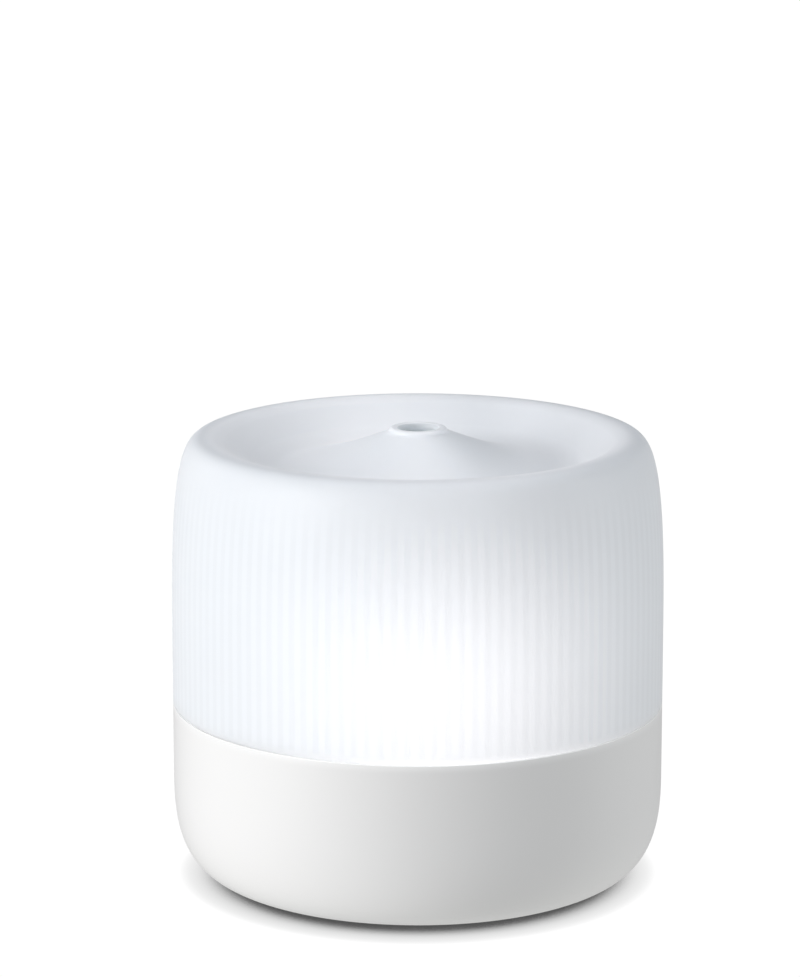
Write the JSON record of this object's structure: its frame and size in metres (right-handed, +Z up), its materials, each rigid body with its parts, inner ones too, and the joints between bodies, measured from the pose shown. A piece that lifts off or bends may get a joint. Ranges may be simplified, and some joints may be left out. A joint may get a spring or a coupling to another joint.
{
  "type": "essential oil diffuser",
  "caption": "Round tabletop diffuser: a white base with a water tank and ultrasonic mist maker, under a lift-off frosted cover with a dished top and a central outlet.",
  "frame": {"origin": "on the body's axis, in the plane that the rubber feet stand on", "axes": "+Z up along the body's axis, -Y towards the front, +Y towards the buttons and the power inlet"},
  "size_m": [0.12, 0.12, 0.1116],
  "materials": {
    "frosted_cover": "satin, frosted and translucent cool white",
    "natural_plastic": "translucent natural plastic",
    "tank_plastic": "translucent white, satin",
    "dark_rubber": "matt",
    "light_silicone": "matt silicone",
    "plated_disc": "plated ceramic disc",
    "screw_steel": "zinc plated",
    "board_white": "white solder mask",
    "light_chip": "clear lens over yellow phosphor",
    "base_white": "smooth white, semi-gloss",
    "plate_white": "fine moulded texture",
    "black_plastic": "satin",
    "bush_brass": "turned",
    "copper_winding": "enamelled copper wire on a core",
    "magnet_ferrite": "sintered ferrite",
    "board_green": "green solder mask",
    "can_aluminium": "satin",
    "connector_ivory": "moulded nylon",
    "contact_metal": "nickel plated",
    "black_insulation": "satin insulation",
    "red_insulation": "satin insulation",
    "white_insulation": "satin insulation"
  },
  "bodies": {
    "base": {"water_tank": "tank_plastic", "air_tower": "tank_plastic", "tank_gasket": "dark_rubber", "piezo_seal": "light_silicone", "piezo_disc": "plated_disc", "piezo_retainer": "natural_plastic", "piezo_screws": "screw_steel", "light_board": "board_white", "light_chips": "light_chip", "light_board_screws": "screw_steel", "base_shell": "base_white", "base_plate": "plate_white", "base_plate_screws": "screw_steel", "rubber_feet": "dark_rubber", "fan_frame": "black_plastic", "fan_bush": "bush_brass", "fan_stator": "copper_winding", "fan_screws": "screw_steel", "air_duct": "natural_plastic", "main_board": "board_green", "board_screws": "screw_steel", "capacitors": "can_aluminium", "power_coil": "copper_winding", "heat_sink": "can_aluminium", "driver_chips": "black_plastic", "connectors": "connector_ivory", "switch_board": "board_green", "switch_housings": "black_plastic", "switch_board_screws": "screw_steel", "power_inlet": "black_plastic", "inlet_contacts": "contact_metal", "inlet_nut": "screw_steel", "inlet_lead": "black_insulation", "fan_lead": "black_insulation", "piezo_lead": "red_insulation", "light_lead": "white_insulation", "switch_lead": "white_insulation"},
    "cover": {"cover": "frosted_cover", "mist_guide": "natural_plastic"},
    "mist_button": {"mist_button": "base_white", "mist_switch_plunger": "black_plastic"},
    "light_button": {"light_button": "base_white", "light_switch_plunger": "black_plastic"},
    "fan_rotor": {"fan_rotor": "black_plastic", "fan_magnet": "magnet_ferrite", "fan_shaft": "screw_steel"}
  },
  "joints": [
    {"name": "cover_lift", "type": "slide", "parent": "base", "child": "cover", "axis": [0, 0, 1], "range_m": [0, 0.08]},
    {"name": "mist_button_press", "type": "slide", "parent": "base", "child": "mist_button", "axis": [0, -1, 0], "range_m": [0, 0.0005], "stiffness_N_per_m": 1500},
    {"name": "light_button_press", "type": "slide", "parent": "base", "child": "light_button", "axis": [0, -1, 0], "range_m": [0, 0.0005], "stiffness_N_per_m": 1500},
    {"name": "fan_spin", "type": "hinge", "parent": "base", "child": "fan_rotor", "pos_m": [-0.01202, 0.01202, 0.0102], "axis": [0, 0, 1], "continuous": true}
  ]
}
